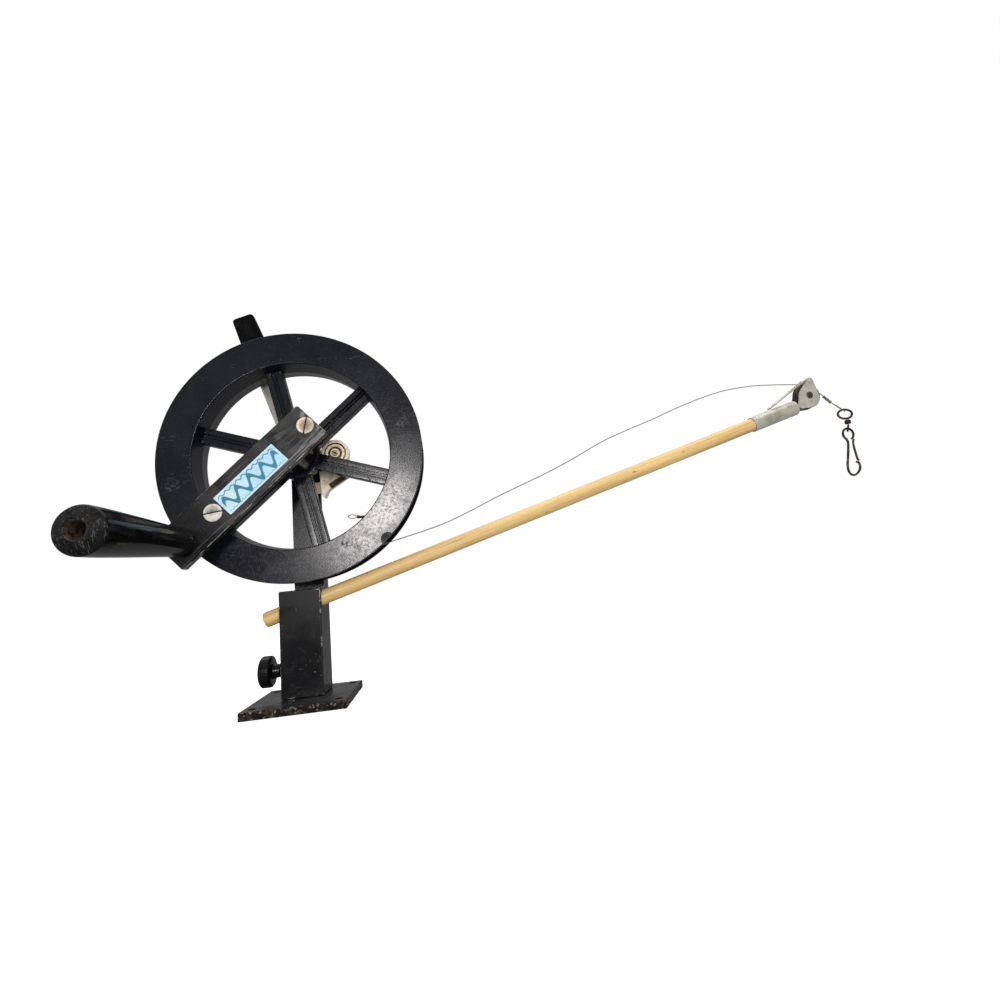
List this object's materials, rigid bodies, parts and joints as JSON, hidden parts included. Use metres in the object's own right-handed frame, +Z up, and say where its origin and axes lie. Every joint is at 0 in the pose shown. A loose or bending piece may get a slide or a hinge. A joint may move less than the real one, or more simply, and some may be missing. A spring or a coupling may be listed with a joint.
{
  "type": "fishing downrigger",
  "caption": "Hand-cranked fishing downrigger: spoked reel on a lift-off column, friction brake lever, line counter, and a wooden boom with a pulley tip, cable, swivel and snap.",
  "frame": {"origin": "centre of the base plate's underside", "axes": "+X along the boom, away from the reel; +Y from the crank handle through the reel to the rear post; +Z up"},
  "size_m": [0.9793, 0.3099, 0.5323],
  "materials": {
    "black_paint": "worn semi-gloss black paint",
    "black_plastic": "moulded black plastic, fine scratches",
    "gloss_black": "glossy black",
    "black_vinyl": "dipped black vinyl",
    "cream_plastic": "aged cream plastic",
    "aluminium": "mill finish",
    "zinc_steel": "zinc plated, dulled",
    "galvanised_steel": "galvanised, mottled",
    "brass": "tarnished",
    "bronze": "sintered bronze",
    "rusty_steel": "rusted",
    "wood": "bare turned rod, oiled by handling",
    "label_vinyl": null,
    "fibre": "pressed fibre",
    "cable_wire": "stranded stainless wire"
  },
  "bodies": {
    "base": {"base_plate": "black_paint", "base_spigot": "zinc_steel"},
    "column": {"column_tube": "black_paint", "lock_nut": "zinc_steel", "post_bar": "black_paint", "post_channel": "black_paint", "post_bolt_1": "zinc_steel", "post_bolt_2": "zinc_steel", "post_nut_1": "zinc_steel", "post_nut_2": "zinc_steel", "boom_rod": "wood", "boom_ferrule": "galvanised_steel", "tip_plate_front": "galvanised_steel", "tip_plate_rear": "galvanised_steel", "tip_axle": "zinc_steel", "tip_spacer": "zinc_steel", "free_cable": "cable_wire", "crimp_sleeve": "zinc_steel", "cable_end_loop": "cable_wire", "axle_bolt": "zinc_steel", "axle_nut": "zinc_steel", "axle_spacer": "zinc_steel", "brake_disc": "fibre", "counter_case": "cream_plastic", "counter_back": "cream_plastic", "counter_screw": "zinc_steel"},
    "lock": {"lock_knob": "gloss_black", "lock_screw": "zinc_steel"},
    "reel": {"reel_front_half": "black_plastic", "reel_rear_half": "black_plastic", "hub_bush_front": "bronze", "hub_bush_rear": "bronze", "line_winding": "cable_wire", "anchor_sleeve": "rusty_steel", "anchor_loop": "cable_wire", "crank_arm": "black_paint", "arm_screw_inner": "brass", "arm_screw_outer": "zinc_steel", "arm_spacer_inner": "zinc_steel", "arm_spacer_outer": "zinc_steel", "arm_nut_inner": "zinc_steel", "arm_nut_outer": "zinc_steel", "label_plate": "label_vinyl", "handle_washer": "zinc_steel", "handle_spindle": "rusty_steel", "handle_nut": "zinc_steel"},
    "grip": {"handle_grip": "gloss_black"},
    "lever": {"brake_lever": "aluminium", "lever_cap": "black_vinyl"},
    "pulley": {"tip_pulley": "fibre"},
    "counter_drive": {"counter_wheel": "cream_plastic", "counter_shaft": "zinc_steel", "digit_wheel_units": "black_plastic"},
    "tens_wheel": {"digit_wheel_tens": "black_plastic"},
    "hundreds_wheel": {"digit_wheel_hundreds": "black_plastic"},
    "swivel_top": {"swivel_top_eye": "rusty_steel", "swivel_barrel": "rusty_steel"},
    "swivel_bottom": {"swivel_lower_eye": "rusty_steel"},
    "snap": {"snap_hook": "rusty_steel"},
    "latch": {"snap_latch": "rusty_steel"}
  },
  "joints": [
    {"name": "column_lift", "type": "slide", "parent": "base", "child": "column", "axis": [0, 0, 1], "range_m": [0, 0.055]},
    {"name": "lock_turn", "type": "hinge", "parent": "column", "child": "lock", "pos_m": [-0.0252, 0.01, 0.041], "axis": [-1, 0, 0], "range_deg": [0, 720]},
    {"name": "reel_spin", "type": "hinge", "parent": "column", "child": "reel", "pos_m": [0, 0, 0.31085], "axis": [0, 1, 0], "continuous": true},
    {"name": "grip_spin", "type": "hinge", "parent": "reel", "child": "grip", "pos_m": [-0.1152, 0, 0.20418], "axis": [0, 1, 0], "continuous": true},
    {"name": "lever_swing", "type": "hinge", "parent": "column", "child": "lever", "pos_m": [0, 0, 0.31085], "axis": [0, 1, 0], "range_deg": [-25, 40]},
    {"name": "pulley_spin", "type": "hinge", "parent": "column", "child": "pulley", "pos_m": [0.7475, -0.00265, 0.3527], "axis": [0, 1, 0], "continuous": true},
    {"name": "counter_spin", "type": "hinge", "parent": "column", "child": "counter_drive", "pos_m": [0.045, 0, 0.3175], "axis": [0, 1, 0], "continuous": true},
    {"name": "tens_spin", "type": "hinge", "parent": "column", "child": "tens_wheel", "pos_m": [0.045, 0, 0.3175], "axis": [0, 1, 0], "continuous": true},
    {"name": "hundreds_spin", "type": "hinge", "parent": "column", "child": "hundreds_wheel", "pos_m": [0.045, 0, 0.3175], "axis": [0, 1, 0], "continuous": true},
    {"name": "swivel_swing", "type": "hinge", "parent": "column", "child": "swivel_top", "pos_m": [0.8065, -0.00265, 0.3262], "axis": [0, 1, 0], "range_deg": [-15, 30]},
    {"name": "swivel_spin", "type": "hinge", "parent": "swivel_top", "child": "swivel_bottom", "pos_m": [0.8078, -0.00265, 0.309], "axis": [0, 0, 1], "continuous": true},
    {"name": "snap_swing", "type": "hinge", "parent": "swivel_bottom", "child": "snap", "pos_m": [0.8043, -0.00265, 0.2943], "axis": [0, 1, 0], "range_deg": [-25, 25]},
    {"name": "latch_open", "type": "hinge", "parent": "snap", "child": "latch", "pos_m": [0.8052, -0.00265, 0.276], "axis": [0, 1, 0], "range_deg": [0, 14], "stiffness_Nm_per_rad": 0.01, "springref_deg": -11.46}
  ],
  "couplings": [
    {"joint": "pulley_spin", "follows": "reel_spin", "ratio": -7.9348},
    {"joint": "counter_spin", "follows": "reel_spin", "ratio": -1.3915},
    {"joint": "tens_spin", "follows": "reel_spin", "ratio": -0.13915},
    {"joint": "hundreds_spin", "follows": "reel_spin", "ratio": -0.013915}
  ]
}
